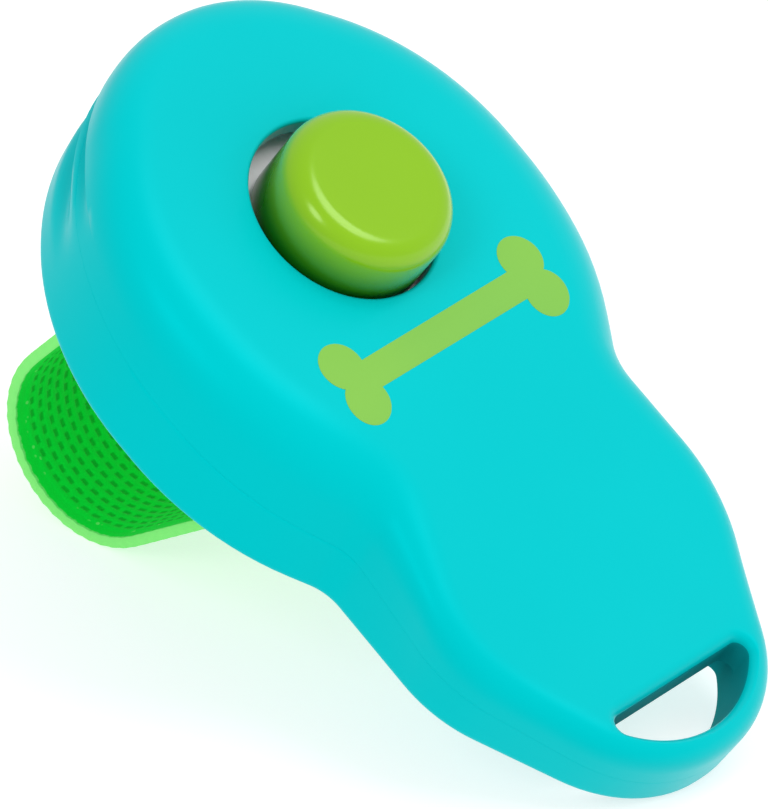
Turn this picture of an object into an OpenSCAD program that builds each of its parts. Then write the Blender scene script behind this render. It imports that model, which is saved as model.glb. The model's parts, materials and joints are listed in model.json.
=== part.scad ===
// Finger-loop training clicker. Two casing shells hold a steel click reed under a push button,
// and an elastic band below the head takes the finger. All sizes are in millimetres.
//
// The pieces are drawn in the casing's own frame: X runs from the head to the tail, Z is the
// axis of the button's hole, and z = 0 is the flat back. in_rest_pose() then leans the whole assembly over
// as it lies on a table, on the band and the tip of the tail.

/* [Casing outline at the back] */
// Radius of the round head
head_r = 25.7; // [24.5:0.1:26.5]
// How far the head's centre lies towards the tail from the button's hole
head_x = 4.7; // [3.5:0.1:5.5]
// Half width of the tail
tail_w = 18.45; // [17.5:0.05:19]
// Where the head's flank meets the tail
neck_x = 24.5; // [23.5:0.1:25.5]
// Where the tail starts to narrow
shoulder_x = 38.3; // [37:0.1:39.5]
// Tip of the tail
tip_x = 54.5; // [53.5:0.1:55]
// Radius of the tail's end
tip_r = 13.8; // [12:0.1:14]

/* [Casing outline at the face] */
// Half width of the head's face
face_w = 21.4; // [20.5:0.1:22.5]
// Rear edge of the head's face
face_rear_x = -22.7; // [-23:0.1:-21.5]
// Half width of the tail's face at the neck
face_neck_w = 15.2; // [14.5:0.1:16]
// Half width of the tail's face at the shoulder
face_tail_w = 18.2; // [17.4:0.1:18.4]

/* [Casing section] */
// Thickness of the casing at the head
head_h = 11.95; // [11.5:0.05:13]
// Thickness of the casing at the tail's end
tail_h = 6.7; // [6.4:0.1:8]
// Where the face starts to slope down
slope_start = 11.4; // [11:0.1:14]
// Where the slope ends
slope_end = 43.4; // [40:0.1:45]
// Wall thickness
wall = 2.2; // [2:0.1:2.4]
// Thickness of the floor and of the roof
skin = 1.8; // [1.6:0.1:2]
// Length of the soft top edge, as a part of the local thickness
soft_edge = 0.36; // [0.25:0.01:0.4]
// Length of the soft bottom edge
back_edge = 0.6; // [0.4:0.1:1]
// Depth of the two grip grooves round the rear of the head
groove_depth = 1.3; // [0.6:0.1:1.4]
// Height of the joint between the shells at the button's hole
joint_h = 5.3; // [5:0.1:5.6]
// Slope of that joint towards the tail, in degrees
joint_slope = 2.65; // [2:0.05:3]

/* [Button] */
// Radius of the button
button_r = 7.8; // [7.5:0.05:7.9]
// How far the button stands towards the tail from its hole's centre
button_x = 0.6; // [0.4:0.05:0.6]
// How far it stands above the face
button_rise = 5.3; // [4.5:0.1:5.5]
// Radius of its rounded top edge
button_edge = 2.2; // [1.5:0.1:2.4]
// Radius of the hole that it stands in
hole_r = 8.7; // [8.65:0.05:8.9]

/* [Click reed] */
// Thickness of the spring steel
reed_t = 0.4; // [0.3:0.05:0.5]
// Height of the reed's lower face
reed_z = 7.4; // [7.3:0.05:7.5]
// Distance from the bend line to the axis of the button's hole
lever = 13.5; // [13:0.1:14]
// Width of the tongue
tongue_w = 21; // [19:0.5:21]

/* [Finger band] */
// Width of the elastic band
band_w = 16.5; // [14:0.5:16.5]
// Thickness of the elastic
band_t = 1.1; // [0.9:0.05:1.2]
// Outer radius of the loop's round end
loop_r = 9.4; // [8.5:0.05:10]
// Depth of that round end's centre below the back
loop_depth = 22.3; // [20:0.1:26]
// Where that centre lies along the casing
loop_x = -1.7; // [-3:0.1:0]
// Half the distance between the two slots for the band
slot_gap = 12.5; // [12:0.1:13]

/* [Tether hole] */
// Straight side of the D-shaped hole in the top shell
tether_x = 47.35; // [47:0.05:47.6]
// How much further the base shell's hole reaches towards the head
tether_step = 1.05; // [0.8:0.05:1.2]
// Far side of the hole, on the centre line
tether_end = 52.4; // [52:0.1:52.5]

/* [Hidden] */
eps = 0.01;
turquoise = [0.0, 0.84, 0.85];
lime = [0.59, 0.81, 0.1];
green = [0.0, 0.82, 0.22];
steel = [0.78, 0.78, 0.77];

// An outline is a list of corners [x, y, radius, steps], from the tip to the rear along +Y.
shoulder_fall = 0.65;
tip_y = tail_w - (tip_x - shoulder_x) * shoulder_fall;
head_side = head_r * tan(22.5);
back_corners = [
    [tip_x, tip_y, tip_r, 8],
    [shoulder_x, tail_w, 12.9, 4],
    [neck_x, tail_w, 4.7, 5],
    [neck_x - (head_r - tail_w) / 0.75, head_r, 25.6, 5],
    [head_x - head_side, head_r, head_r - 0.3, 8],
    [head_x - head_r, head_side, head_r - 0.3, 8]];
face_tip_x = tip_x + 0.2;
face_neck_x = 22.1;
face_corners = [
    [face_tip_x, 7.95, 13, 8],
    [35.6, face_tail_w, 14.9, 4],
    [face_neck_x, face_neck_w, 5, 5],
    [face_neck_x - (face_w - face_neck_w) / 0.545, face_w, 31.5, 5],
    [face_rear_x + 13.8, face_w, 24.1, 8],
    [face_rear_x, face_w - 13.8, 18, 8]];

function unit(v) = v / norm(v);
function side(c) = [c[0], c[1]];

// Points of the arc that rounds corner b between a and c: [x, y, outward normal x, y]
function rounded(a, b, c, r, steps) =
    let (
        u = unit(a - b),
        v = unit(c - b),
        half = acos(u * v) / 2,
        centre = b + unit(u + v) * r / sin(half),
        turn = sign(cross(b - a, c - b)),
        start = b + u * r / tan(half) - centre,
        from = atan2(start[1], start[0]),
        sweep = turn * (180 - 2 * half)
    )
    [for (i = [0:steps])
        let (d = [cos(from + sweep * i / steps), sin(from + sweep * i / steps)])
        [centre[0] + r * d[0], centre[1] + r * d[1], turn * d[0], turn * d[1]]];

function half_outline(corners) =
    let (
        last = len(corners) - 1,
        tip = [corners[0][0], 0],
        rear = [corners[last][0], 0]
    )
    [for (k = [0:last])
        let (
            before = k == 0 ? tip : side(corners[k - 1]),
            after = k == last ? rear : side(corners[k + 1])
        )
        each rounded(before, side(corners[k]), after, corners[k][2], corners[k][3])];

function closed(half) =
    concat(half, [for (i = [len(half) - 1:-1:0])
        [half[i][0], -half[i][1], half[i][2], -half[i][3]]]);

back_line = closed(half_outline(back_corners));
face_line = closed(half_outline(face_corners));
count = len(back_line);

// Height of the face over x, and the ease that shapes its slope
function ease(t) = let (c = min(1, max(0, t))) c * c * (3 - 2 * c);
function face_z(x) = head_h - (head_h - tail_h) * ease((x - slope_start) / (slope_end - slope_start));

// The grip grooves: two round hollows in the wall that fade out along the head's sides
groove_levels = [0.32, 0.6];
groove_reach = 0.15;
function groove(x, level) =
    groove_depth * ease((-x - 10) / 9)
    * max([for (g = groove_levels)
        abs(level - g) < groove_reach ? (1 + cos(180 * (level - g) / groove_reach)) / 2 : 0]);

// A point of the wall at line index i: level 0 is the back and level 1 is the face
function wall_point(i, level, inset, cut = 0) =
    let (
        b = back_line[i],
        f = face_line[i],
        n = unit([b[2] + f[2], b[3] + f[3]]),
        x = b[0] + (f[0] - b[0]) * level,
        y = b[1] + (f[1] - b[1]) * level,
        d = inset + cut * groove(x, level)
    )
    [x - n[0] * d, y - n[1] * d, face_z(f[0]) * level];

function bend(p, q, r, t) = p * (1 - t) * (1 - t) + q * 2 * t * (1 - t) + r * t * t;

bottom_steps = 3;
wall_steps = 16;
top_steps = 6;
function outer_column(i) =
    let (
        b = back_line[i],
        f = face_line[i],
        h = face_z(f[0]),
        low = back_edge / h,
        high = 1 - soft_edge,
        reach = soft_edge * h,
        foot = [b[0] - b[2] * back_edge, b[1] - b[3] * back_edge, 0],
        crown = [f[0] - f[2] * reach, f[1] - f[3] * reach]
    )
    concat(
        [for (k = [0:bottom_steps - 1])
            bend(foot, [b[0], b[1], 0], wall_point(i, low, 0), k / bottom_steps)],
        [for (k = [0:wall_steps - 1])
            wall_point(i, low + (high - low) * k / wall_steps, 0, 1)],
        [for (k = [0:top_steps])
            bend(wall_point(i, high, 0), [f[0], f[1], h],
                 [crown[0], crown[1], face_z(crown[0])], k / top_steps)]);

// A closed solid from columns of points that stand round the outline; the caps are strips
// between the two sides, because the face's height changes along X only.
module column_solid(columns) {
    n = len(columns);
    rings = len(columns[0]);
    last = rings - 1;
    points = [for (j = [0:last]) each [for (i = [0:n - 1]) columns[i][j]]];
    walls = [for (j = [0:last - 1]) for (i = [0:n - 1])
        let (k = (i + 1) % n)
        each [[j * n + i, (j + 1) * n + i, (j + 1) * n + k],
              [j * n + i, (j + 1) * n + k, j * n + k]]];
    top = last * n;
    caps = [for (a = [0:n / 2 - 2])
        let (
            b = a + 1,
            c = n - 2 - a,
            d = n - 1 - a
        )
        each [[b, a, c], [c, a, d], [top + a, top + b, top + c], [top + d, top + a, top + c]]];
    polyhedron(points = points, faces = concat(walls, caps), convexity = 6);
}

module outer_body() {
    column_solid([for (i = [0:count - 1]) outer_column(i)]);
}

// The hollow inside both shells; it ends before the solid end of the tail
hollow_end = tether_x - tether_step - 2.6;
module hollow() {
    intersection() {
        column_solid([for (i = [0:count - 1])
            [for (level = [0, 0.5, 1])
                let (p = wall_point(i, level, wall))
                [p[0], p[1], skin + (face_z(p[0]) - 2 * skin) * level]]]);
        translate([-50, -50, -50]) cube([50 + hollow_end, 100, 100]);
    }
}

// Everything below the joint between the shells
module below_joint() {
    translate([0, 0, joint_h]) rotate([0, joint_slope, 0])
        translate([-60, -60, -60]) cube([150, 120, 60]);
}
function joint_z(x) = joint_h - x * tan(joint_slope);

// The tether hole: an arc on the far side and a straight side with rounded corners
tether_arc_x = 40.9;
tether_arc_r = tether_end - tether_arc_x;
tether_corner = 1;
function tether_half(straight) =
    let (
        out = straight + tether_corner - tether_arc_x,
        corner_y = sqrt(pow(tether_arc_r - tether_corner, 2) - out * out),
        turn = atan2(corner_y, out)
    )
    concat(
        [for (k = [0:10])
            let (a = turn * k / 10)
            [tether_arc_x + tether_arc_r * cos(a), tether_arc_r * sin(a)]],
        [for (k = [1:6])
            let (a = turn + (180 - turn) * k / 6)
            [straight + tether_corner * (1 + cos(a)), corner_y + tether_corner * sin(a)]]);
module tether_hole(straight) {
    half = tether_half(straight);
    far = [for (i = [len(half) - 1:-1:1]) [half[i][0], -half[i][1]]];
    translate([0, 0, -1]) linear_extrude(height = head_h + 2) polygon(concat(half, far));
}

// Screws through the back: [x, y, length under the head]
head_screws = [[2, 16.6, 6.6], [2, -16.6, 6.6]];
tail_screws = [[34, 0, 4]];
screw_r = 1;
screw_head_r = 1.8;
screw_head_h = 1.2;
screw_sink = 0.4;
boss_r = 2.4;
shank_z = screw_sink + screw_head_h;
module screw(r, head, head_thick, length) {
    difference() {
        union() {
            cylinder(r = head, h = head_thick, $fn = 32);
            translate([0, 0, head_thick - eps]) cylinder(r = r, h = length, $fn = 32);
        }
        for (turn = [0, 90])
            rotate([0, 0, turn]) translate([-head * 0.55, -0.25, -eps]) cube([head * 1.1, 0.5, 0.6]);
    }
}

// Reed and its seat
reed_top = reed_z + reed_t;
bend_x = -lever;
root_rear = -18;
root_w = 12;
root_screw_x = (root_rear + bend_x) / 2;
root_screws = [[root_screw_x, 3.6], [root_screw_x, -3.6]];
reed_screw_r = 0.9;
clamp_t = 1;
dimple_r = 3;
dimple_h = 0.5;
dimple_ball = (dimple_r * dimple_r + dimple_h * dimple_h) / (2 * dimple_h);
tongue_end = 9.8;

// Band pins: the band's ends are sewn round them inside the casing
pin_r = 0.75;
fold_r = pin_r + band_t + 0.02;
pin_z = skin + fold_r + 0.1;
pin_len = 20.9;
slot_x = [head_x + 0.6 - slot_gap, head_x + 0.6 + slot_gap];
pin_x = [slot_x[0] + pin_r + band_t / 2, slot_x[1] - pin_r - band_t / 2];
slot_w = 2;

button_top = head_h + button_rise;
skirt_z = 9;
lug_h = 0.8;
lug_out = 0.7;
stem_r = 2.5;
collar_r = 10.5;

// The band's centre line from the rear pin round the loop to the front pin
loop_mid = loop_r - band_t / 2;
loop_centre = [loop_x, -loop_depth];
function leave_angle(s, way) =
    let (d = loop_centre - [s, 0])
    atan2(d[1], d[0]) + way * asin(loop_mid / norm(d));
rear_lean = leave_angle(slot_x[0], -1);
front_lean = leave_angle(slot_x[1], 1);
arc_from = rear_lean - 90;
arc_to = front_lean + 90;
loop_steps = 28;
band_line = concat(
    [[slot_x[0], pin_z], [slot_x[0], 0]],
    [for (k = [0:loop_steps])
        let (a = arc_from + (arc_to + 360 - arc_from) % 360 * k / loop_steps)
        loop_centre + loop_mid * [cos(a), sin(a)]],
    [[slot_x[1], 0], [slot_x[1], pin_z]]);

// The rest pose: the loop's round end and the tip of the tail touch the table together
touch = [tip_x - 0.4 * back_edge, 0.13 * back_edge];
reach_x = touch[0] - loop_x;
reach_z = touch[1] + loop_depth;
rest_lean = asin(loop_r / norm([reach_x, reach_z])) + atan2(reach_z, reach_x);
lift = loop_x * sin(rest_lean) + loop_depth * cos(rest_lean) + loop_r;
rearmost = loop_x * cos(rest_lean) - loop_depth * sin(rest_lean) - loop_r;
foremost = max([for (p = outer_column(0)) p[0] * cos(rest_lean) + p[2] * sin(rest_lean)]);
module in_rest_pose() {
    translate([-(rearmost + foremost) / 2, 0, lift]) rotate([0, rest_lean, 0]) children();
}

// Upper casing: face, upper wall, guide collar for the button and the three screw bosses
module top_shell() {
    color(turquoise) in_rest_pose() difference() {
        union() {
            difference() {
                outer_body();
                hollow();
                below_joint();
            }
            difference() {
                translate([0, 0, skirt_z - 0.3])
                    cylinder(r = collar_r + 1.2, h = head_h - skin - skirt_z + 0.35, $fn = 64);
                translate([0, 0, skirt_z - 1])
                    cylinder(r = collar_r, h = 4, $fn = 64);
            }
            for (s = concat(head_screws, tail_screws))
                translate([s[0], s[1], joint_z(s[0]) + 0.15])
                    cylinder(r = boss_r, h = face_z(s[0]) - skin / 2 - joint_z(s[0]) - 0.15, $fn = 40);
        }
        translate([0, 0, skirt_z]) cylinder(r = hole_r, h = 10, $fn = 96);
        tether_hole(tether_x);
        for (s = concat(head_screws, tail_screws))
            translate([s[0], s[1], 0]) cylinder(r = screw_r + 0.03, h = shank_z + s[2] + 0.3, $fn = 32);
    }
}

// Lower casing: back, lower wall, reed seat, anvil rib, pin posts, band slots, screw bosses
module base_shell() {
    color(turquoise) in_rest_pose() difference() {
        union() {
            intersection() {
                difference() {
                    outer_body();
                    hollow();
                }
                below_joint();
            }
            translate([root_rear, -root_w / 2, skin - eps])
                cube([bend_x - 0.3 - root_rear, root_w, reed_z - skin]);
            translate([6.6, -6, skin - eps]) cube([1.8, 12, 2.8]);
            for (x = pin_x) for (s = [-1, 1])
                translate([x - 1.5, s * (pin_len / 2 - 0.8) - 0.6, skin - eps])
                    cube([3, 1.2, pin_z - skin + 1.3]);
            for (s = concat(head_screws, tail_screws))
                translate([s[0], s[1], skin - eps])
                    cylinder(r = boss_r, h = joint_z(s[0]) - skin - 0.1, $fn = 40);
        }
        tether_hole(tether_x - tether_step);
        for (x = slot_x)
            translate([x - slot_w / 2, -band_w / 2 - 0.4, -1]) cube([slot_w, band_w + 0.8, skin + 1.5]);
        for (x = pin_x)
            translate([x, pin_len / 2 + 0.1, pin_z]) rotate([90, 0, 0])
                cylinder(r = pin_r + 0.04, h = pin_len + 0.2, $fn = 32);
        for (s = root_screws)
            translate([s[0], s[1], skin + 0.6]) cylinder(r = reed_screw_r + 0.03, h = 8, $fn = 32);
        for (s = concat(head_screws, tail_screws)) translate([s[0], s[1], 0]) {
            translate([0, 0, -1]) cylinder(r = screw_r + 0.2, h = 9, $fn = 32);
            translate([0, 0, -1]) cylinder(r = screw_head_r + 0.25, h = 1 + shank_z, $fn = 40);
        }
    }
}

// Push button: a round cap with a skirt, a stem for the reed and two lugs that hold it in
module button() {
    stem_z = reed_top + dimple_h + 0.1;
    color(lime) in_rest_pose() translate([button_x, 0, 0]) {
        difference() {
            union() {
                rotate_extrude($fn = 96)
                    polygon(concat(
                        [[0, skirt_z], [button_r, skirt_z]],
                        [for (a = [0:9:90])
                            [button_r - button_edge * (1 - cos(a)),
                             button_top - button_edge * (1 - sin(a))]],
                        [[0, button_top]]));
                for (s = [-1, 1])
                    translate([-2, s * (button_r + lug_out) - 1.2, skirt_z]) cube([4, 2.4, lug_h]);
            }
            difference() {
                translate([0, 0, skirt_z - 1]) cylinder(r = 6.2, h = button_rise + 1, $fn = 64);
                translate([0, 0, skirt_z - 2]) cylinder(r = stem_r, h = 12, $fn = 48);
            }
        }
        translate([0, 0, stem_z]) cylinder(r = stem_r, h = skirt_z + 0.1 - stem_z, $fn = 48);
    }
}

// Click reed: the clamped root, and the tongue that the button bends down
module reed_root() {
    color(steel) in_rest_pose() difference() {
        translate([root_rear, -root_w / 2, reed_z]) cube([bend_x - 0.06 - root_rear, root_w, reed_t]);
        for (s = root_screws)
            translate([s[0], s[1], reed_z - 1]) cylinder(r = reed_screw_r + 0.1, h = 3, $fn = 32);
    }
}

module reed_tongue() {
    color(steel) in_rest_pose() difference() {
        union() {
            translate([bend_x + 0.06, -root_w / 2, reed_z]) cube([3, root_w, reed_t]);
            translate([bend_x + 2, -tongue_w / 2, reed_z])
                cube([tongue_end - bend_x - 2, tongue_w, reed_t]);
            intersection() {
                translate([button_x, 0, reed_top + dimple_h - dimple_ball])
                    sphere(r = dimple_ball, $fn = 64);
                translate([button_x, 0, reed_z + 0.1]) cylinder(r = dimple_r, h = 3, $fn = 48);
            }
        }
        translate([button_x, 0, reed_z + dimple_h - dimple_ball]) sphere(r = dimple_ball, $fn = 64);
    }
}

module reed_clamp() {
    color(steel) in_rest_pose() difference() {
        translate([root_rear, -root_w / 2, reed_top]) cube([bend_x - 0.3 - root_rear, root_w, clamp_t]);
        for (s = root_screws)
            translate([s[0], s[1], reed_top - 1]) cylinder(r = reed_screw_r + 0.1, h = 3, $fn = 32);
    }
}

module reed_screws() {
    color(steel) in_rest_pose()
        for (s = root_screws) translate([s[0], s[1], reed_top + clamp_t + 1]) mirror([0, 0, 1])
            screw(reed_screw_r, 1.6, 1, 5);
}

module case_screws() {
    color(steel) in_rest_pose()
        for (s = head_screws) translate([s[0], s[1], screw_sink])
            screw(screw_r, screw_head_r, screw_head_h, s[2]);
}

module tail_screw() {
    color(steel) in_rest_pose()
        for (s = tail_screws) translate([s[0], s[1], screw_sink])
            screw(screw_r, screw_head_r, screw_head_h, s[2]);
}

// Elastic finger band: one strip, with each end folded round its pin
function line_normal(line, k) =
    let (
        a = line[max(0, k - 1)],
        b = line[min(len(line) - 1, k + 1)],
        d = unit(b - a)
    )
    [-d[1], d[0]];
module finger_band() {
    last = len(band_line) - 1;
    inner = [for (k = [0:last]) band_line[k] + line_normal(band_line, k) * band_t / 2];
    outer = [for (k = [last:-1:0]) band_line[k] - line_normal(band_line, k) * band_t / 2];
    color(green) in_rest_pose() rotate([90, 0, 0])
        translate([0, 0, -band_w / 2]) difference() {
            union() {
                linear_extrude(height = band_w) polygon(concat(inner, outer));
                for (x = pin_x) translate([x, pin_z, 0]) cylinder(r = fold_r, h = band_w, $fn = 40);
            }
            for (x = pin_x) translate([x, pin_z, -1])
                cylinder(r = pin_r + 0.02, h = band_w + 2, $fn = 32);
        }
}

module band_pins() {
    color(steel) in_rest_pose()
        for (x = pin_x) translate([x, pin_len / 2, pin_z]) rotate([90, 0, 0])
            cylinder(r = pin_r, h = pin_len, $fn = 32);
}

top_shell();
base_shell();
button();
reed_root();
reed_tongue();
reed_clamp();
reed_screws();
case_screws();
tail_screw();
finger_band();
band_pins();
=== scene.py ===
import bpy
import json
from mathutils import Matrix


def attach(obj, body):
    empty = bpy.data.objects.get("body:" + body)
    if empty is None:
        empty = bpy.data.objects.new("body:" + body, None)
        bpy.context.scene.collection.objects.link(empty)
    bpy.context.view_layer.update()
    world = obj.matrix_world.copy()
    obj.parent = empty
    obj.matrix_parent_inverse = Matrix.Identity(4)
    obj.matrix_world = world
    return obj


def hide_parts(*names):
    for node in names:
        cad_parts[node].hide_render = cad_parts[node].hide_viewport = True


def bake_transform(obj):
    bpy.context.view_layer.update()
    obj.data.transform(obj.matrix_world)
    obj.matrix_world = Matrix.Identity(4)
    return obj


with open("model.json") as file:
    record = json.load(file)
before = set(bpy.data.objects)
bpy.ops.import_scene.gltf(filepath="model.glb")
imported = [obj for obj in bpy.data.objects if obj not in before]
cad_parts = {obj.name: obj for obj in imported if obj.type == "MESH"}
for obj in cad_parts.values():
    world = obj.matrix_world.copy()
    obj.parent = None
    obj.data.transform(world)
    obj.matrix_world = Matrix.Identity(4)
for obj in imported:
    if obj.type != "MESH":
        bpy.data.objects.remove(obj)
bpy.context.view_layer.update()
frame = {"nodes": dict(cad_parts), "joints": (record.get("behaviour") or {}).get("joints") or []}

import json
from math import acos, asin, atan2, cos, pi, radians, sin, sqrt, tan

import bmesh
import bpy
from mathutils import Matrix, Vector

# The casing: two turquoise ABS mouldings, an upper shell with the face and a lower one with the
# flat back. Each is an outline rounded with arcs, lofted from the back's line to the face's line.
# The face slopes down towards the tail, and two grip grooves run round the rear of the head.

# Every piece is drawn in the casing's own frame in millimetres, with X from the head to the tail
# and Z along the axis of the button's hole, and is then leant over onto the table.
joints = {joint["name"]: joint for joint in frame["joints"]}
press_axis = Vector(joints["button_press"]["axis"])
lean = Matrix.Rotation(atan2(-press_axis.x, -press_axis.z), 4, "Y")
bend_line = Vector((-13.5, 0, 7.6))
bend_line_on_table = Vector(joints["reed_bend"]["pos_m"])
MM = 0.001
onto_table = Matrix.Translation(bend_line_on_table - lean @ (bend_line * MM)) @ lean @ Matrix.Scale(MM, 4)


def ease(t):
    t = min(1, max(0, t))
    return t * t * (3 - 2 * t)


def finish_piece(name, bm, material, body, replaces=(), sharp=35):
    """Leans the mesh onto the table, gives it its material and ties it to its CAD body."""
    bmesh.ops.transform(bm, matrix=onto_table, verts=bm.verts)
    mesh = bpy.data.meshes.new(name)
    bm.to_mesh(mesh)
    bm.free()
    mesh.polygons.foreach_set("use_smooth", [True] * len(mesh.polygons))
    mesh.set_sharp_from_angle(angle=radians(sharp))
    mesh.materials.append(material)
    piece = bpy.data.objects.new(name, mesh)
    bpy.context.scene.collection.objects.link(piece)
    if body:
        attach(piece, body)
    if replaces:
        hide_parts(*replaces)
    return piece


def combine(bm, tools, operation):
    """Cuts the tools out of a solid, or joins them to it, and returns the new solid."""
    for tool in tools:
        solids = []
        for part in (bm, tool):
            mesh = bpy.data.meshes.new("solid")
            part.to_mesh(mesh)
            part.free()
            solid = bpy.data.objects.new("solid", mesh)
            bpy.context.scene.collection.objects.link(solid)
            solids.append(solid)
        cut = solids[0].modifiers.new("cut", "BOOLEAN")
        cut.operation = operation
        cut.object = solids[1]
        cut.solver = "EXACT"
        made = solids[0].evaluated_get(bpy.context.evaluated_depsgraph_get()).to_mesh()
        bm = bmesh.new()
        bm.from_mesh(made)
        for solid in solids:
            bpy.data.objects.remove(solid)
        bmesh.ops.remove_doubles(bm, verts=bm.verts, dist=0.0005)
        bmesh.ops.dissolve_degenerate(bm, edges=bm.edges, dist=0.0005)
    return bm


def lathe(profile, steps=96, centre=(0, 0)):
    """A closed solid turned from a profile of (radius, height) points about the Z direction."""
    bm = bmesh.new()
    verts = [bm.verts.new((r, 0, z)) for r, z in profile]
    edges = [bm.edges.new(pair) for pair in zip(verts, verts[1:])]
    bmesh.ops.spin(bm, geom=verts + edges, cent=(0, 0, 0), axis=(0, 0, 1), angle=2 * pi,
                   steps=steps, use_merge=True)
    bmesh.ops.remove_doubles(bm, verts=bm.verts, dist=0.0001)
    bmesh.ops.translate(bm, verts=bm.verts, vec=(centre[0], centre[1], 0))
    bmesh.ops.recalc_face_normals(bm, faces=bm.faces)
    return bm


def block(x0, x1, y0, y1, z0, z1):
    bm = bmesh.new()
    bmesh.ops.create_cube(bm, size=1)
    bmesh.ops.scale(bm, verts=bm.verts, vec=(x1 - x0, y1 - y0, z1 - z0))
    bmesh.ops.translate(bm, verts=bm.verts, vec=((x0 + x1) / 2, (y0 + y1) / 2, (z0 + z1) / 2))
    return bm


def quarter(r_from, z_from, r_to, z_to, steps, upright_first=False):
    """Points of a quarter round between two (radius, height) points, level or upright at first."""
    points = []
    for k in range(steps + 1):
        a = pi / 2 * k / steps
        u, v = (1 - cos(a), sin(a)) if upright_first else (sin(a), 1 - cos(a))
        points.append((r_from + (r_to - r_from) * u, z_from + (z_to - z_from) * v))
    return points


head_h, tail_h = 11.95, 6.7
slope_start, slope_end = 11.4, 43.4
wall, skin = 2.2, 1.8
back_edge, soft_edge = 0.6, 0.36
joint_h, joint_slope = 5.3, tan(radians(2.65))
groove_depth, groove_levels, groove_reach = 1.3, (0.32, 0.6), 0.15

head_r, head_x = 25.7, 4.7
head_side = head_r * tan(pi / 8)
back_corners = [(54.5, 7.92, 13.8), (38.3, 18.45, 12.9), (24.5, 18.45, 4.7), (14.83, head_r, 25.6),
                (head_x - head_side, head_r, head_r - 0.3), (head_x - head_r, head_side, head_r - 0.3)]
face_corners = [(54.7, 7.95, 13), (35.6, 18.2, 14.9), (22.1, 15.2, 5), (10.72, 21.4, 31.5),
                (-8.9, 21.4, 24.1), (-22.7, 7.6, 18)]
arc_steps, straight_steps = (14, 10, 12, 12, 20, 20), (1, 6, 10, 4, 1, 1, 1)


def rounded(a, b, c, r, steps):
    """Points and outward normals of the arc of radius r that rounds corner b."""
    u, v = (a - b).normalized(), (c - b).normalized()
    half = acos(max(-1, min(1, u.dot(v)))) / 2
    centre = b + (u + v).normalized() * r / sin(half)
    turn = 1 if (b - a).cross(c - b) > 0 else -1
    start = b + u * r / tan(half) - centre
    first, sweep = atan2(start.y, start.x), turn * (pi - 2 * half)
    rays = [Vector((cos(first + sweep * i / steps), sin(first + sweep * i / steps)))
            for i in range(steps + 1)]
    return [(centre + ray * r, ray * turn) for ray in rays]


def outline(corners):
    """The whole outline, from the tip round +Y to the rear and back, as (point, normal) pairs."""
    tip, rear = Vector((corners[0][0], 0)), Vector((corners[-1][0], 0))
    spots = [tip] + [Vector(c[:2]) for c in corners] + [rear]
    half = []
    for k, (x, y, r) in enumerate(corners):
        arc = rounded(spots[k], spots[k + 1], spots[k + 2], r, arc_steps[k])
        if half:
            (p, n), (q, m) = half[-1], arc[0]
            for s in range(1, straight_steps[k]):
                t = s / straight_steps[k]
                half.append((p.lerp(q, t), n.lerp(m, t).normalized()))
        half += arc
    flip = Vector((1, -1))
    return half + [(p * flip, n * flip) for p, n in reversed(half)]


back_line, face_line = outline(back_corners), outline(face_corners)


def face_z(x):
    return head_h - (head_h - tail_h) * ease((x - slope_start) / (slope_end - slope_start))


def groove(x, level):
    dip = max((1 + cos(pi * (level - g) / groove_reach)) / 2 if abs(level - g) < groove_reach else 0
              for g in groove_levels)
    return groove_depth * ease((-x - 10) / 9) * dip


def wall_point(i, level, inset=0.0, grooved=False):
    (b, bn), (f, fn) = back_line[i], face_line[i]
    spot = b.lerp(f, level)
    depth = inset + (groove(spot.x, level) if grooved else 0)
    spot = spot - (bn + fn).normalized() * depth
    return Vector((spot.x, spot.y, face_z(f.x) * level))


def joint_level(i):
    """How far up the wall the joint between the shells lies, from 0 at the back to 1."""
    (b, _), (f, _) = back_line[i], face_line[i]
    level = 0.45
    for _ in range(3):
        level = (joint_h - b.lerp(f, level).x * joint_slope) / face_z(f.x)
    return level


def bend(p, q, r, t):
    return p * (1 - t) ** 2 + q * 2 * t * (1 - t) + r * t ** 2


def column_solid(columns, marks=None):
    """A closed solid from columns of points that stand round the outline. Each ring is extruded
    from the one below and moved to its place; strips between the two sides close the ends.
    Marks are a (u, v) pair for each point, and become the solid's UV map."""
    bm = bmesh.new()
    count = len(columns)
    ring = [bm.verts.new(column[0]) for column in columns]
    edges = [bm.edges.new((ring[i], ring[(i + 1) % count])) for i in range(count)]
    rings = [ring]
    for level in range(1, len(columns[0])):
        made = bmesh.ops.extrude_edge_only(bm, edges=edges)["geom"]
        fresh = {v for v in made if isinstance(v, bmesh.types.BMVert)}
        ring = [next(e.other_vert(v) for e in v.link_edges if e.other_vert(v) in fresh) for v in ring]
        for vert, column in zip(ring, columns):
            vert.co = column[level]
        edges = [bm.edges.get((ring[i], ring[(i + 1) % count])) for i in range(count)]
        rings.append(ring)
    for side in (rings[0], rings[-1]):
        for a in range(count // 2 - 1):
            bm.faces.new((side[a], side[a + 1], side[count - 2 - a], side[count - 1 - a]))
    bmesh.ops.recalc_face_normals(bm, faces=bm.faces)
    if marks:
        spot = {vert: marks[i][level] for level, ring in enumerate(rings) for i, vert in enumerate(ring)}
        sheet = bm.loops.layers.uv.new("weave")
        for face in bm.faces:
            for loop in face.loops:
                loop[sheet].uv = spot[loop.vert]
    return bm


edge_chamfer = 0.015


def upper_column(i):
    f, fn = face_line[i]
    height, start = face_z(f.x), joint_level(i)
    reach, high = soft_edge * height, 1 - soft_edge
    crown = f - fn * reach
    lip = edge_chamfer / height
    corner, top = Vector((f.x, f.y, height)), Vector((crown.x, crown.y, face_z(crown.x)))
    column = [wall_point(i, start, edge_chamfer, True)]
    column += [wall_point(i, start + lip + (high - start - lip) * k / 22, 0, True) for k in range(22)]
    column += [bend(wall_point(i, high), corner, top, k / 14) for k in range(15)]
    return column


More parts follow.
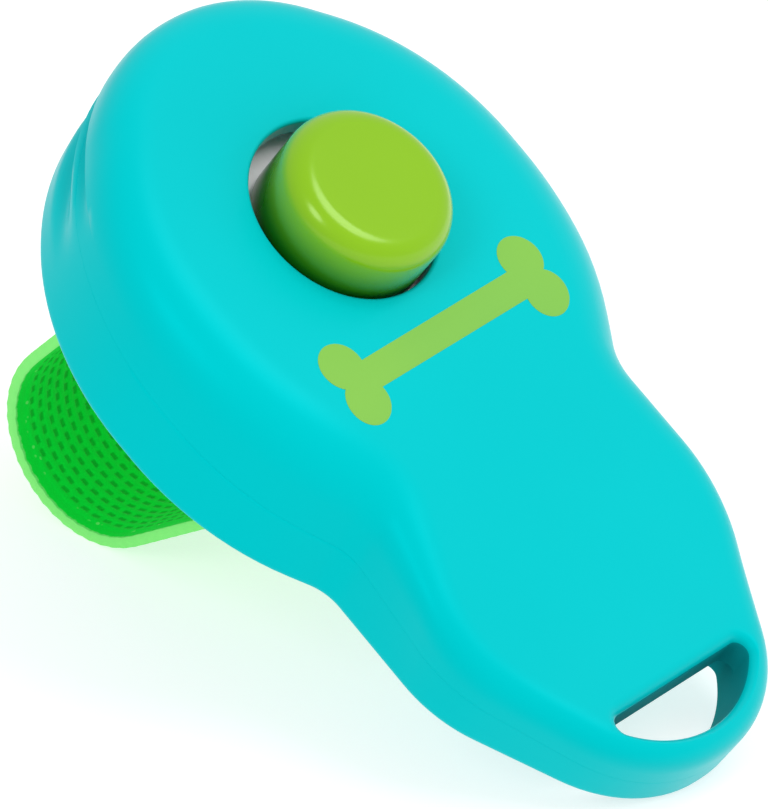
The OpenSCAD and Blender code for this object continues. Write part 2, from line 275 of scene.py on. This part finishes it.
def lower_column(i):
    b, bn = back_line[i]
    height, stop = face_z(face_line[i][0].x), joint_level(i)
    low = back_edge / height
    foot, corner = b - bn * back_edge, Vector((b.x, b.y, 0))
    lip = edge_chamfer / height
    column = [bend(Vector((foot.x, foot.y, 0)), corner, wall_point(i, low), k / 8) for k in range(8)]
    column += [wall_point(i, low + (stop - lip - low) * k / 16, 0, True) for k in range(17)]
    return column + [wall_point(i, stop, edge_chamfer, True)]


line_count = len(back_line)
hollow_end = 43.7


def hollow():
    columns = []
    for i in range(line_count):
        spots = [wall_point(i, level, wall) for level in (0, 0.5, 1)]
        columns.append([Vector((p.x, p.y, skin + (face_z(p.x) - 2 * skin) * level))
                        for p, level in zip(spots, (0, 0.5, 1))])
    return combine(column_solid(columns), [block(hollow_end, 80, -40, 40, -10, 30)], "DIFFERENCE")


tether_end, tether_arc_x, tether_corner = 52.4, 40.9, 1.0


def tether_cutter(straight, foot_round, top_round):
    """The D-shaped tether hole: a straight side towards the head and an arc that follows the
    tail's end, with rounded entries at the back and at the face."""
    arc_r, flip = tether_end - tether_arc_x, Vector((1, -1))
    out = straight + tether_corner - tether_arc_x
    corner_y = sqrt((arc_r - tether_corner) ** 2 - out ** 2)
    turn = atan2(corner_y, out)
    half = []
    for a in (turn * (k + 0.5) / 24 for k in range(24)):
        ray = Vector((cos(a), sin(a)))
        half.append((Vector((tether_arc_x, 0)) + ray * arc_r, ray))
    for a in (turn + (pi - turn) * k / 10 for k in range(11)):
        ray = Vector((cos(a), sin(a)))
        half.append((Vector((straight + tether_corner, corner_y)) + ray * tether_corner, ray))
    columns = []
    for p, n in half + [(p * flip, n * flip) for p, n in reversed(half)]:
        height = face_z(p.x)
        levels = ([(foot_round, -2)] + quarter(foot_round, 0, 0, foot_round, 5)
                  + quarter(0, height - top_round, top_round, height, 10, True)
                  + [(top_round, height + 3)])
        columns.append([Vector((p.x + n.x * g, p.y + n.y * g, z)) for g, z in levels])
    return column_solid(columns)


hole_r, hole_round = 8.7, 0.38
button_hole = lathe([(0, 4), (hole_r, 4)]
                    + quarter(hole_r, head_h - hole_round, hole_r + hole_round, head_h, 8, True)
                    + [(hole_r + hole_round, head_h + 3), (0, head_h + 3)], 128)
collar_r, collar_foot, collar_top = 10.5, 8.7, head_h - 1
collar = lathe([(collar_r, collar_foot), (collar_r + 1.2, collar_foot), (collar_r + 1.2, collar_top),
                (collar_r, collar_top), (collar_r, collar_foot)])

screw_spots = [(2, 16.6), (2, -16.6), (34, 0)]
boss_r = 2.4


def post(x, y, z0, z1, r=boss_r):
    return lathe([(0, z0), (r, z0), (r, z1), (0, z1)], 40, (x, y))


upper = combine(column_solid([upper_column(i) for i in range(line_count)]), [hollow()], "DIFFERENCE")
upper = combine(upper, [collar] + [post(x, y, joint_h - x * joint_slope + 0.15, face_z(x) - 1)
                                   for x, y in screw_spots], "UNION")
upper_straight, lower_straight = 47.35, 46.3
upper = combine(upper, [button_hole, tether_cutter(upper_straight, 0.05, 1.1)], "DIFFERENCE")

slot_middle, slot_gap = head_x + 0.6, 12.5
slot_xs, slot_w, band_w = (slot_middle - slot_gap, slot_middle + slot_gap), 2.0, 16.5
reed_z, pin_r, pin_z, pin_len, fold_r = 7.4, 0.75, 3.77, 20.9, 1.3
pin_xs = (slot_xs[0] + fold_r, slot_xs[1] - fold_r)
lower = combine(column_solid([lower_column(i) for i in range(line_count)]), [hollow()], "DIFFERENCE")
floor_z, post_y = skin - 0.1, pin_len / 2 - 0.8
reed_seat = block(-18, -13.8, -6, 6, floor_z, reed_z)
anvil_rib = block(6.6, 8.4, -6, 6, floor_z, 4.6)
pin_posts = [block(x - 1.5, x + 1.5, side * post_y - 0.6, side * post_y + 0.6, floor_z, pin_z + 1.3)
             for x in pin_xs for side in (-1, 1)]
bosses = [post(x, y, floor_z, joint_h - x * joint_slope - 0.1) for x, y in screw_spots]
lower = combine(lower, [reed_seat, anvil_rib] + pin_posts + bosses, "UNION")
pin_bores = [lathe([(0, -pin_len / 2 - 0.1), (pin_r + 0.04, -pin_len / 2 - 0.1),
                    (pin_r + 0.04, pin_len / 2 + 0.1), (0, pin_len / 2 + 0.1)], 32) for x in pin_xs]
for bore, x in zip(pin_bores, pin_xs):
    bmesh.ops.transform(bore, verts=bore.verts,
                        matrix=Matrix.Translation((x, 0, pin_z)) @ Matrix.Rotation(pi / 2, 4, "X"))
lower = combine(lower, [tether_cutter(lower_straight, 0.3, 0.3)] + pin_bores
                + [block(x - slot_w / 2, x + slot_w / 2, -band_w / 2 - 0.4, band_w / 2 + 0.4, -1, 4)
                   for x in slot_xs]
                + [lathe([(0, -1), (2.3, -1)] + quarter(2.3, 0, 2.05, 0.25, 4)
                         + [(2.05, 1.6), (0, 1.6)], 40, spot) for spot in screw_spots], "DIFFERENCE")

# Moulded ABS: an almost even colour, a gloss that varies a little where it is handled, and a fine
# ripple left by the mould
def noise_node(nodes, links, place, scale, detail=3.0):
    noise = nodes.new("ShaderNodeTexNoise")
    noise.inputs["Scale"].default_value = scale
    noise.inputs["Detail"].default_value = detail
    links.new(place, noise.inputs["Vector"])
    return noise


def ramp_node(nodes, links, source, low, high, stops=(0.3, 0.7)):
    ramp = nodes.new("ShaderNodeValToRGB")
    for element, stop, colour in zip(ramp.color_ramp.elements, stops, (low, high)):
        element.position = stop
        element.color = colour
    links.new(source, ramp.inputs["Fac"])
    return ramp


def moulding_group():
    """Mottle, gloss variation and surface ripple that every moulded plastic piece shows."""
    group = bpy.data.node_groups.new("moulded_plastic", "ShaderNodeTree")
    face = group.interface
    for name, kind in (("Colour", "NodeSocketColor"), ("Deep Colour", "NodeSocketColor"),
                       ("Roughness", "NodeSocketFloat"), ("Ripple", "NodeSocketFloat")):
        face.new_socket(name=name, in_out="INPUT", socket_type=kind)
    for name, kind in (("Colour", "NodeSocketColor"), ("Roughness", "NodeSocketFloat"),
                       ("Normal", "NodeSocketVector")):
        face.new_socket(name=name, in_out="OUTPUT", socket_type=kind)
    nodes, links = group.nodes, group.links
    given, out = nodes.new("NodeGroupInput"), nodes.new("NodeGroupOutput")
    place = nodes.new("ShaderNodeTexCoord").outputs["Object"]
    flow = noise_node(nodes, links, place, 38.0, 2.0)
    mix = nodes.new("ShaderNodeMix")
    mix.data_type = "RGBA"
    spread = nodes.new("ShaderNodeMapRange")
    spread.inputs["From Min"].default_value = 0.35
    spread.inputs["From Max"].default_value = 0.75
    links.new(flow.outputs["Fac"], spread.inputs["Value"])
    links.new(spread.outputs["Result"], mix.inputs["Factor"])
    links.new(given.outputs["Colour"], mix.inputs["A"])
    links.new(given.outputs["Deep Colour"], mix.inputs["B"])
    links.new(mix.outputs["Result"], out.inputs["Colour"])
    handling = noise_node(nodes, links, place, 260.0, 4.0)
    vary = nodes.new("ShaderNodeMath")
    vary.operation = "MULTIPLY_ADD"
    vary.inputs[1].default_value = 0.08
    links.new(handling.outputs["Fac"], vary.inputs[0])
    links.new(given.outputs["Roughness"], vary.inputs[2])
    links.new(vary.outputs["Value"], out.inputs["Roughness"])
    ripple = noise_node(nodes, links, place, 900.0, 2.0)
    bump = nodes.new("ShaderNodeBump")
    bump.inputs["Distance"].default_value = 0.00002
    links.new(ripple.outputs["Fac"], bump.inputs["Height"])
    links.new(given.outputs["Ripple"], bump.inputs["Strength"])
    links.new(bump.outputs["Normal"], out.inputs["Normal"])
    return group


moulded = moulding_group()


def plastic(name, colour, deep, roughness, ripple=0.3, specular=0.5, coat=0.0, tint=(1, 1, 1)):
    material = bpy.data.materials.new(name)
    material.use_nodes = True
    nodes, links = material.node_tree.nodes, material.node_tree.links
    shader = nodes["Principled BSDF"]
    look = nodes.new("ShaderNodeGroup")
    look.node_tree = moulded
    look.inputs["Colour"].default_value = (*colour, 1)
    look.inputs["Deep Colour"].default_value = (*deep, 1)
    look.inputs["Roughness"].default_value = roughness
    look.inputs["Ripple"].default_value = ripple
    links.new(look.outputs["Colour"], shader.inputs["Base Color"])
    links.new(look.outputs["Roughness"], shader.inputs["Roughness"])
    links.new(look.outputs["Normal"], shader.inputs["Normal"])
    shader.inputs["Specular IOR Level"].default_value = specular
    shader.inputs["Coat Weight"].default_value = coat
    shader.inputs["Coat Roughness"].default_value = 0.16
    shader.inputs["Specular Tint"].default_value = (*tint, 1)
    return material


turquoise = plastic("turquoise_abs", (0.0, 0.535, 0.56), (0.0, 0.515, 0.54), 0.28, specular=0.25,
                    tint=(0.0, 0.9, 1.0))


def paint_hole_wall_shade(bm):
    """Gives the tether hole's walls the second material: a little below the face they are matt and
    darker, with painted shade.
    """
    radius = tether_end - tether_arc_x + 0.1
    for face in bm.faces:
        spot = face.calc_center_median()
        in_hole = spot.x > 46.2 and (spot.x - tether_arc_x) ** 2 + spot.y ** 2 < radius ** 2
        if in_hole and abs(face.normal.z) < 0.3 and spot.z < face_z(spot.x) - 0.3:
            face.material_index = 1


for shell in (upper, lower):
    paint_hole_wall_shade(shell)
# Painted shade: the tether hole's walls get a darker, matt turquoise.
painted_shade_turquoise = plastic("painted_shade_turquoise_abs", (0.0, 0.27, 0.29), (0.0, 0.25, 0.27), 0.75, specular=0.05)
top_shell = finish_piece("top_shell_moulding", upper, turquoise, "casing", ["top_shell"])
base_shell = finish_piece("base_shell_moulding", lower, turquoise, "casing", ["base_shell"])
for shell in (top_shell, base_shell):
    shell.data.materials.append(painted_shade_turquoise)

# The push button: a lime moulding with a flat top, a wide rounded edge and a hollow skirt. Its stem
# stands on the reed's dimple, and two lugs under the casing's roof keep it from falling out.
button_r, button_x, button_edge, button_top, skirt_z = 7.8, 0.6, 2.2, head_h + 5.3, 9.0
stem_r, stem_z, lug_h = 2.5, 8.4, 0.8
button_profile = [(0, 14.3), (6.2, 14.3), (6.2, skirt_z), (button_r - 0.2, skirt_z),
                  (button_r, skirt_z + 0.2)]
button_profile += quarter(button_r, button_top - button_edge,
                          button_r - button_edge, button_top, 20, True)
button_profile += [((button_r - button_edge) * (1 - k / 6), button_top) for k in range(1, 7)]
button_mesh = lathe(button_profile, 160, (button_x, 0))
lug_y = button_r + 0.7
button_mesh = combine(button_mesh, [post(button_x, 0, stem_z, 15, stem_r)]
                      + [block(button_x - 2, button_x + 2, side * lug_y - 1.2, side * lug_y + 1.2,
                               skirt_z, skirt_z + lug_h) for side in (-1, 1)], "UNION")


def paint_shade_by_height(material, low, high, shade_colour):
    """Paints shade: blends the base colour towards a darker colour near the foot of the piece, along the
    button's axis.
    """
    nodes, links = material.node_tree.nodes, material.node_tree.links
    shader = nodes["Principled BSDF"]
    feed = shader.inputs["Base Color"].links[0].from_socket
    turn = nodes.new("ShaderNodeMapping")
    turn.vector_type = "TEXTURE"
    turn.inputs["Location"].default_value = onto_table.translation
    turn.inputs["Rotation"].default_value = lean.to_euler()
    turn.inputs["Scale"].default_value = (MM, MM, MM)
    links.new(nodes.new("ShaderNodeTexCoord").outputs["Object"], turn.inputs["Vector"])
    apart = nodes.new("ShaderNodeSeparateXYZ")
    links.new(turn.outputs["Vector"], apart.inputs["Vector"])
    rise = nodes.new("ShaderNodeMapRange")
    rise.interpolation_type = "SMOOTHSTEP"
    rise.inputs["From Min"].default_value = low
    rise.inputs["From Max"].default_value = high
    links.new(apart.outputs["Z"], rise.inputs["Value"])
    mix = nodes.new("ShaderNodeMix")
    mix.data_type = "RGBA"
    mix.inputs["A"].default_value = (*shade_colour, 1)
    links.new(rise.outputs["Result"], mix.inputs["Factor"])
    links.new(feed, mix.inputs["B"])
    links.new(mix.outputs["Result"], shader.inputs["Base Color"])


lime = plastic("lime_button", (0.23, 0.49, 0.0), (0.21, 0.46, 0.0), 0.2, ripple=0.2, specular=0.5,
               coat=0.5, tint=(0.7, 1.0, 0.3))
# Painted shade: the button's side darkens to deep green towards its foot.
paint_shade_by_height(lime, 11.2, 16.4, (0.006, 0.16, 0.004))
finish_piece("push_button", button_mesh, lime, "button", ["button"])

# The click reed: one sheet of rolled spring steel, clamped at its narrow root. A pressed dimple
# under the button makes the tongue snap when it is bent.
reed_t, dimple_r, dimple_h = 0.4, 3.0, 0.5
dimple_ball = (dimple_r ** 2 + dimple_h ** 2) / (2 * dimple_h)


def cap(top, radius):
    """Points of a shallow dome of the dimple's ball, from its rim to its crown."""
    return [(r, top - dimple_ball + sqrt(dimple_ball ** 2 - r ** 2))
            for r in (radius * (1 - k / 12) for k in range(13))]


def plate(x0, x1, half_width, z0, z1, corner):
    """A flat plate with rounded corners."""
    bm = block(x0, x1, -half_width, half_width, z0, z1)
    upright = [e for e in bm.edges if abs(e.verts[0].co.z - e.verts[1].co.z) > 0.1]
    bmesh.ops.bevel(bm, geom=upright, offset=corner, offset_type="OFFSET", affect="EDGES",
                    segments=6, profile=0.5, material=-1)
    return bm


reed_mesh = combine(plate(-18, -11.2, 6, reed_z, reed_z + reed_t, 0.6),
                    [plate(-11.5, 9.8, 10.5, reed_z, reed_z + reed_t, 1.6),
                     lathe([(0, reed_z + 0.1), (dimple_r, reed_z + 0.1)]
                           + cap(reed_z + reed_t + dimple_h, dimple_r), 64, (button_x, 0))], "UNION")
reed_mesh = combine(reed_mesh, [lathe([(0, reed_z - 1), (dimple_r * 0.93, reed_z - 1)]
                                      + cap(reed_z + dimple_h, dimple_r * 0.93), 64, (button_x, 0))]
                    + [post(-15.75, y, reed_z - 1, reed_z + 2, 1) for y in (-3.6, 3.6)], "DIFFERENCE")


def rolled_steel(name, dark, light, roughness, metallic=1.0):
    """Bright steel with fine rolling lines along X and a slightly uneven sheen."""
    material = bpy.data.materials.new(name)
    material.use_nodes = True
    nodes, links = material.node_tree.nodes, material.node_tree.links
    shader = nodes["Principled BSDF"]
    stretch = nodes.new("ShaderNodeMapping")
    stretch.inputs["Scale"].default_value = (60, 2200, 60)
    place = nodes.new("ShaderNodeTexCoord").outputs["Object"]
    links.new(place, stretch.inputs["Vector"])
    lines = noise_node(nodes, links, stretch.outputs["Vector"], 1.0, 3.0)
    cloud = noise_node(nodes, links, place, 180.0, 2.0)
    both = nodes.new("ShaderNodeMath")
    both.operation = "MULTIPLY_ADD"
    both.inputs[1].default_value = 0.5
    half = nodes.new("ShaderNodeMath")
    half.operation = "MULTIPLY"
    half.inputs[1].default_value = 0.5
    links.new(cloud.outputs["Fac"], half.inputs[0])
    links.new(lines.outputs["Fac"], both.inputs[0])
    links.new(half.outputs["Value"], both.inputs[2])
    tone = ramp_node(nodes, links, both.outputs["Value"], (*dark, 1), (*light, 1))
    gloss = ramp_node(nodes, links, both.outputs["Value"], (roughness, roughness, roughness, 1),
                      (roughness + 0.15, roughness + 0.15, roughness + 0.15, 1))
    bump = nodes.new("ShaderNodeBump")
    bump.inputs["Strength"].default_value = 0.15
    bump.inputs["Distance"].default_value = 0.00002
    links.new(lines.outputs["Fac"], bump.inputs["Height"])
    links.new(bump.outputs["Normal"], shader.inputs["Normal"])
    links.new(tone.outputs["Color"], shader.inputs["Base Color"])
    links.new(gloss.outputs["Color"], shader.inputs["Roughness"])
    shader.inputs["Metallic"].default_value = metallic
    return material


spring_steel = rolled_steel("rolled_spring_steel", (0.90, 0.87, 0.87), (0.97, 0.95, 0.95), 0.5, 0.2)
reed = finish_piece("click_reed", reed_mesh, spring_steel, None,
                    ["reed_root", "reed_tongue"])
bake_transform(reed)

# The clamp over the reed's root, its two screws and the band's two pins are plain zinc-plated
# steel. They are inside the casing and keep their CAD shapes.
zinc_steel = rolled_steel("zinc_plated_steel", (0.50, 0.50, 0.52), (0.68, 0.68, 0.70), 0.28)
for hidden in ("reed_clamp", "reed_screws", "band_pins"):
    slots = frame["nodes"][hidden].data.materials
    slots.clear()
    slots.append(zinc_steel)

# The three screws that hold the shells together: small pan-head screws of zinc-plated steel with
# a cross recess, driven from the back into bosses of the upper shell
screw_sink, screw_head_r, screw_head_h, screw_r = 0.4, 1.8, 1.2, 1.0


def casing_screw(x, y, length):
    shank = screw_sink + screw_head_h
    profile = quarter(screw_head_r - 0.5, screw_sink, screw_head_r, screw_sink + 0.5, 6)
    bm = lathe([(0, screw_sink)] + profile
               + [(screw_head_r, shank), (screw_r, shank), (screw_r, shank + length - 0.4),
                  (screw_r - 0.4, shank + length), (0, shank + length)], 48, (x, y))
    across = screw_head_r * 0.55
    recess = [block(x - across, x + across, y - 0.25, y + 0.25, -1, screw_sink + 0.6),
              block(x - 0.25, x + 0.25, y - across, y + across, -1, screw_sink + 0.6)]
    return combine(bm, recess, "DIFFERENCE")


head_screws = combine(casing_screw(2, 16.6, 6.6), [casing_screw(2, -16.6, 6.6)], "UNION")
finish_piece("head_screws", head_screws, zinc_steel, "casing", ["case_screws"])
finish_piece("tail_end_screw", casing_screw(34, 0, 4), zinc_steel, "casing",
             ["tail_screw"])

# The finger band: a woven elastic strip, bright green, with ribs along its length and a paler,
# slightly scalloped cut edge. It hangs below the head in a loop, and each end passes up through a
# slot in the back and is folded round a pin.
band_t, loop_r, loop_depth, loop_x = 1.1, 9.4, 22.3, -1.7
loop_mid = loop_r - band_t / 2
loop_centre = Vector((loop_x, -loop_depth))


def leave_angle(x, way):
    run = loop_centre - Vector((x, 0))
    return atan2(run.y, run.x) + way * asin(loop_mid / run.length)


def arc(centre, radius, first, last, steps):
    return [centre + Vector((cos(a), sin(a))) * radius
            for a in (first + (last - first) * k / steps for k in range(steps + 1))]


arc_from = leave_angle(slot_xs[0], -1) - pi / 2
arc_to = leave_angle(slot_xs[1], 1) + pi / 2
sweep = (arc_to - arc_from) % (2 * pi)
rear_pin, front_pin = (Vector((x, pin_z)) for x in pin_xs)
corners = (arc(rear_pin, fold_r, radians(-60), radians(180), 24) + [Vector((slot_xs[0], 0))]
           + arc(loop_centre, loop_mid, arc_from, arc_from + sweep, 60)
           + [Vector((slot_xs[1], 0))] + arc(front_pin, fold_r, 0, radians(240), 24))


def even(points, step):
    """The same line with evenly spaced points."""
    out, left = [points[0]], step
    for a, b in zip(points, points[1:]):
        run = (b - a).length
        while run >= left:
            out.append(a + (b - a) * (left / run))
            a, run, left = out[-1], run - left, step
        left -= run
    return out


band_step = 0.4
band_line = even(corners, band_step)
for _ in range(6):
    inner_points = [(a + b * 2 + c) / 4 for a, b, c in zip(band_line, band_line[1:], band_line[2:])]
    band_line = [band_line[0]] + inner_points + [band_line[-1]]

rib_pitch, rib_height, stitch_pitch, plain_border = 1.1, 0.07, 1.3, 1.5
rim_round = 0.25
across_steps = 110


def across_band():
    """One turn round the band's cross-section, as (offset in thickness, place across, ribbed)."""
    flat = band_w / 2 - rim_round
    face = [flat * (1 - 2 * k / across_steps) for k in range(across_steps + 1)]
    ring = []
    for side in (1, -1):
        for v in face if side == 1 else reversed(face):
            rib = (1 + cos(2 * pi * v / rib_pitch)) / 2 * ease((flat - abs(v)) / plain_border)
            ring.append((side * (band_t / 2 - rib_height * (1 - rib)), v))
        way = -side
        for a in (-60, -30, 0, 30, 60):
            r = radians(a)
            ring.append((side * -sin(r) * band_t / 2, way * (flat + rim_round * cos(r))))
    return ring


band_columns, band_marks = [], []
for t, v in across_band():
    column, marks = [], []
    for k, p in enumerate(band_line):
        before, after = band_line[max(0, k - 1)], band_line[min(len(band_line) - 1, k + 1)]
        run = (after - before).normalized()
        u = k * band_step
        scallop = 1 + 0.007 * cos(2 * pi * u / stitch_pitch)
        spot = p + Vector((-run.y, run.x)) * t
        column.append(Vector((spot.x, v * scallop, spot.y)))
        marks.append((u, v))
    band_columns.append(column)
    band_marks.append(marks)
band_mesh = column_solid(band_columns, band_marks)

weave = bpy.data.materials.new("green_elastic_weave")
weave.use_nodes = True
nodes, links = weave.node_tree.nodes, weave.node_tree.links


def maths(operation, a, b=None):
    node = nodes.new("ShaderNodeMath")
    node.operation = operation
    for socket, value in zip(node.inputs, (a, b)):
        if isinstance(value, bpy.types.NodeSocket):
            links.new(value, socket)
        elif value is not None:
            socket.default_value = value
    return node.outputs["Value"]


def span(value, low, high):
    node = nodes.new("ShaderNodeMapRange")
    node.interpolation_type = "SMOOTHSTEP"
    node.inputs["From Min"].default_value = low
    node.inputs["From Max"].default_value = high
    links.new(value, node.inputs["Value"])
    return node.outputs["Result"]


def blend_colours(factor, a, b):
    node = nodes.new("ShaderNodeMix")
    node.data_type = "RGBA"
    links.new(factor, node.inputs["Factor"])
    for name, value in (("A", a), ("B", b)):
        if isinstance(value, bpy.types.NodeSocket):
            links.new(value, node.inputs[name])
        else:
            node.inputs[name].default_value = (*value, 1)
    return node.outputs["Result"]


threads = nodes.new("ShaderNodeUVMap")
threads.uv_map = "weave"
apart = nodes.new("ShaderNodeSeparateXYZ")
links.new(threads.outputs["UV"], apart.inputs["Vector"])
along, over = apart.outputs["X"], apart.outputs["Y"]
fray = noise_node(nodes, links, threads.outputs["UV"], 2.2, 3.0)
fuzz = noise_node(nodes, links, threads.outputs["UV"], 9.0, 2.0)
# valleys between the ribs, broken into dashes by the stitches, and staggered from row to row
row = maths("FLOOR", maths("DIVIDE", over, rib_pitch))
valley = maths("COSINE", maths("MULTIPLY", over, 2 * pi / rib_pitch))
stagger = maths("MULTIPLY", row, 0.37)
turns = maths("ADD", maths("DIVIDE", along, stitch_pitch), stagger)
stitch = maths("COSINE", maths("MULTIPLY", turns, 2 * pi))
dash = maths("MULTIPLY", span(maths("MULTIPLY", valley, -1.0), -0.2, 0.8), span(stitch, -0.75, 0.35))
middle = maths("ABSOLUTE", over)
inside = span(maths("MULTIPLY", middle, -1.0),
              -(band_w / 2 - plain_border * 0.7), -(band_w / 2 - plain_border * 1.6))
dark = maths("MULTIPLY", dash, inside)
cloth = blend_colours(fuzz.outputs["Fac"], (0.0, 0.70, 0.035), (0.0, 0.86, 0.06))
cloth = blend_colours(maths("MULTIPLY", dark, 0.5), cloth, (0.0, 0.22, 0.006))
ragged = maths("ADD", middle, maths("MULTIPLY", maths("SUBTRACT", fray.outputs["Fac"], 0.5), 0.35))
edge = span(ragged, band_w / 2 - 0.42, band_w / 2 - 0.22)
speck = nodes.new("ShaderNodeTexVoronoi")
speck.inputs["Scale"].default_value = 1.1
links.new(threads.outputs["UV"], speck.inputs["Vector"])
from_edge = maths("ABSOLUTE", maths("SUBTRACT", middle, band_w / 2 - plain_border))
loose = maths("MULTIPLY", span(maths("MULTIPLY", speck.outputs["Distance"], -1.0), -0.26, -0.14),
              span(maths("MULTIPLY", from_edge, -1.0), -0.35, -0.1))
pale = maths("MAXIMUM", edge, maths("MULTIPLY", loose, 0.7))
cloth = blend_colours(pale, cloth, (0.24, 0.86, 0.20))
shader = nodes["Principled BSDF"]
links.new(cloth, shader.inputs["Base Color"])
shader.inputs["Roughness"].default_value = 0.75
shader.inputs["Specular IOR Level"].default_value = 0.1
shader.inputs["Sheen Weight"].default_value = 0.05
shader.inputs["Sheen Roughness"].default_value = 0.4
bump = nodes.new("ShaderNodeBump")
bump.inputs["Distance"].default_value = 0.0001
bump.inputs["Strength"].default_value = 0.7
height = maths("ADD", maths("MULTIPLY", fuzz.outputs["Fac"], 0.35), maths("MULTIPLY", dark, -0.8))
links.new(height, bump.inputs["Height"])
links.new(bump.outputs["Normal"], shader.inputs["Normal"])
band = finish_piece("finger_band_elastic", band_mesh, weave, "casing", ["finger_band"],
                    sharp=50)

# The mark on the face: a plain bone shape pad-printed in lime ink, thin as a coat of paint
print_x, print_half, print_end, print_r, print_bar = 13.2, 11.6, 1.8, 2.2, 1.4
ink_low, ink_high = -0.03, 0.03
bone = combine(block(print_x - print_bar, print_x + print_bar, -print_half, print_half,
                     ink_low, ink_high),
               [post(print_x + side * print_end, end * print_half, ink_low, ink_high, print_r)
                for side in (-1, 1) for end in (-1, 1)], "UNION")
for k in range(1, 20):
    bmesh.ops.bisect_plane(bone, geom=bone.verts[:] + bone.edges[:] + bone.faces[:], dist=0.0001,
                           plane_co=(print_x - 5 + k * 0.5, 0, 0), plane_no=(1, 0, 0))
for vert in bone.verts:
    vert.co.z += face_z(vert.co.x)
ink = plastic("lime_print_ink", (0.22, 0.52, 0.07), (0.18, 0.48, 0.08), 0.45, ripple=0.8, specular=0.2)
finish_piece("bone_print", bone, ink, "casing")

# The studio: a pale floor that gives off a little light so that it stays white, a camera above the
# tail's near side, two soft lamps and an even white surround
floor_mesh = bmesh.new()
bmesh.ops.create_grid(floor_mesh, x_segments=1, y_segments=1, size=3)
floor_data = bpy.data.meshes.new("floor")
floor_mesh.to_mesh(floor_data)
floor_mesh.free()
floor = bpy.data.objects.new("floor", floor_data)
bpy.context.scene.collection.objects.link(floor)
floor_material = bpy.data.materials.new("pale_paper")
floor_material.use_nodes = True
floor_shader = floor_material.node_tree.nodes["Principled BSDF"]
floor_shader.inputs["Base Color"].default_value = (0.45, 0.45, 0.45, 1)
floor_shader.inputs["Roughness"].default_value = 0.9
floor_shader.inputs["Specular IOR Level"].default_value = 0.2
floor_shader.inputs["Emission Color"].default_value = (1, 1, 1, 1)
floor_shader.inputs["Emission Strength"].default_value = 0.66
floor_data.materials.append(floor_material)

view_azimuth, view_elevation, view_roll = radians(37.684), radians(32.952), radians(3.764)
view_distance, view_lens = 1.5142, 811.8
look_at = Vector((-0.000027, -0.002676, 0.023227))
backward = Vector((sin(view_azimuth) * cos(view_elevation), -cos(view_azimuth) * cos(view_elevation),
                   sin(view_elevation)))
camera_data = bpy.data.cameras.new("camera")
camera_data.lens = view_lens
camera_data.sensor_width = 36
camera_data.clip_end = 20
camera = bpy.data.objects.new("camera", camera_data)
camera.location = look_at + backward * view_distance
camera.rotation_euler = (Matrix.Rotation(view_azimuth, 4, "Z")
                         @ Matrix.Rotation(pi / 2 - view_elevation, 4, "X")
                         @ Matrix.Rotation(view_roll, 4, "Z")).to_euler()
bpy.context.scene.collection.objects.link(camera)
bpy.context.scene.camera = camera


def area_light(name, place, size, power, colour=(1, 1, 1)):
    data = bpy.data.lights.new(name, "AREA")
    data.shape = "DISK"
    data.size = size
    data.energy = power
    data.color = colour
    light = bpy.data.objects.new(name, data)
    light.location = place
    aim = Vector((0, 0, 0.02)) - Vector(place)
    light.rotation_euler = aim.to_track_quat("-Z", "Y").to_euler()
    bpy.context.scene.collection.objects.link(light)


area_light("key", (0.1, -0.8, 0.75), 0.4, 2.0)
area_light("top", (0.45, 0.25, 1.0), 0.7, 5)

world = bpy.data.worlds.new("studio")
world.use_nodes = True
world.node_tree.nodes["Background"].inputs["Color"].default_value = (1, 1, 1, 1)
world.node_tree.nodes["Background"].inputs["Strength"].default_value = 0.72
bpy.context.scene.world = world
bpy.context.scene.view_settings.view_transform = "Standard"
